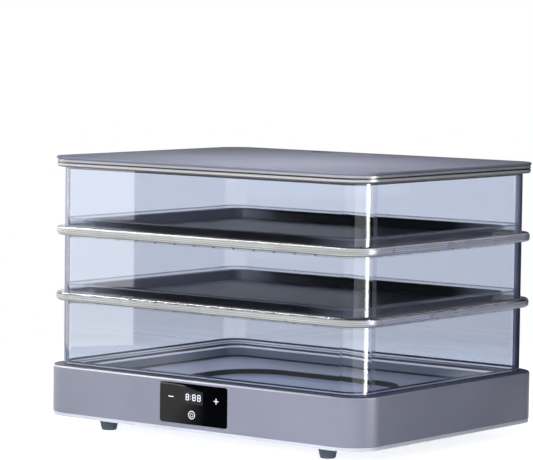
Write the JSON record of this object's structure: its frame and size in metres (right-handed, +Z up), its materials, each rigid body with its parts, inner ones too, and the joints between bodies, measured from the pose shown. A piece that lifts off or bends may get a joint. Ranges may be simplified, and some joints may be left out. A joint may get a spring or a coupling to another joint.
{
  "type": "folding dough proofer",
  "caption": "Stacking dough proofer: heated base with touch panel, clear wall rings and frames that carry black baking trays, and a flat grey lid.",
  "frame": {"origin": "centre of the footprint, on the surface that the feet stand on", "axes": "+X along the control panel, to the right as the user faces it; +Y from the panel to the back; +Z up"},
  "size_m": [0.4644, 0.3584, 0.3189],
  "materials": {
    "shell_plastic": "satin",
    "liner_plastic": "satin",
    "floor_metal": "satin",
    "well_metal": "satin",
    "cover_plastic": "satin",
    "steel": "plain",
    "black_rubber": "matt",
    "tray_black": "non-stick, satin",
    "water_tray_olive": "non-stick, satin",
    "aluminium": "plain",
    "insulation": "fibrous",
    "clear_plastic": "clear, polished",
    "lid_plastic": "satin",
    "black_glass": "polished",
    "display": "polished",
    "board_green": "satin",
    "black_plastic": "satin",
    "blue_plastic": "satin",
    "silicone": "matt",
    "brass": "plain",
    "wire_red": "satin",
    "wire_blue": "satin",
    "wire_green": "satin"
  },
  "bodies": {
    "base": {"base_shell": "shell_plastic", "liner_rim": "liner_plastic", "heated_floor": "floor_metal", "well_pan": "well_metal", "liner_screws": "steel", "bottom_cover": "cover_plastic", "cover_screws": "steel", "foot_screws": "steel", "heater_plate": "aluminium", "heater_element": "steel", "heater_insulation": "insulation", "heater_shield": "steel", "shield_screws": "steel", "thermal_cutout": "black_plastic", "sensor_grommet": "silicone", "temperature_sensor": "steel", "panel_glass": "black_glass", "display_module": "display", "touch_springs": "steel", "control_board": "board_green", "control_board_screws": "steel", "power_board": "board_green", "power_board_screws": "steel", "transformer": "steel", "relay": "blue_plastic", "capacitors": "black_plastic", "fuse": "brass", "terminal_blocks": "black_plastic", "inlet_socket": "black_plastic", "inlet_pins": "brass", "inlet_screws": "steel", "heater_leads": "wire_red", "mains_leads": "wire_blue", "control_cable": "black_plastic", "earth_lead": "wire_green", "foot_1": "black_rubber", "foot_2": "black_rubber", "foot_3": "black_rubber", "foot_4": "black_rubber"},
    "water_tray": {"water_tray": "water_tray_olive"},
    "wall_1": {"wall_1": "clear_plastic"},
    "frame_1": {"frame_1": "clear_plastic"},
    "tray_1": {"tray_1": "tray_black"},
    "wall_2": {"wall_2": "clear_plastic"},
    "frame_2": {"frame_2": "clear_plastic"},
    "tray_2": {"tray_2": "tray_black"},
    "wall_3": {"wall_3": "clear_plastic"},
    "lid": {"lid_plate": "lid_plastic", "lid_rim": "clear_plastic", "lid_screws": "steel"}
  },
  "joints": [
    {"name": "water_tray_lift", "type": "slide", "parent": "base", "child": "water_tray", "axis": [0, 0, 1], "range_m": [0, 0.095]},
    {"name": "wall_1_lift", "type": "slide", "parent": "base", "child": "wall_1", "axis": [0, 0, 1], "range_m": [0, 0.12]},
    {"name": "frame_1_lift", "type": "slide", "parent": "wall_1", "child": "frame_1", "axis": [0, 0, 1], "range_m": [0, 0.12]},
    {"name": "tray_1_lift", "type": "slide", "parent": "frame_1", "child": "tray_1", "axis": [0, 0, 1], "range_m": [0, 0.055]},
    {"name": "wall_2_lift", "type": "slide", "parent": "frame_1", "child": "wall_2", "axis": [0, 0, 1], "range_m": [0, 0.12]},
    {"name": "frame_2_lift", "type": "slide", "parent": "wall_2", "child": "frame_2", "axis": [0, 0, 1], "range_m": [0, 0.12]},
    {"name": "tray_2_lift", "type": "slide", "parent": "frame_2", "child": "tray_2", "axis": [0, 0, 1], "range_m": [0, 0.058]},
    {"name": "wall_3_lift", "type": "slide", "parent": "frame_2", "child": "wall_3", "axis": [0, 0, 1], "range_m": [0, 0.12]},
    {"name": "lid_lift", "type": "slide", "parent": "wall_3", "child": "lid", "axis": [0, 0, 1], "range_m": [0, 0.2]}
  ]
}
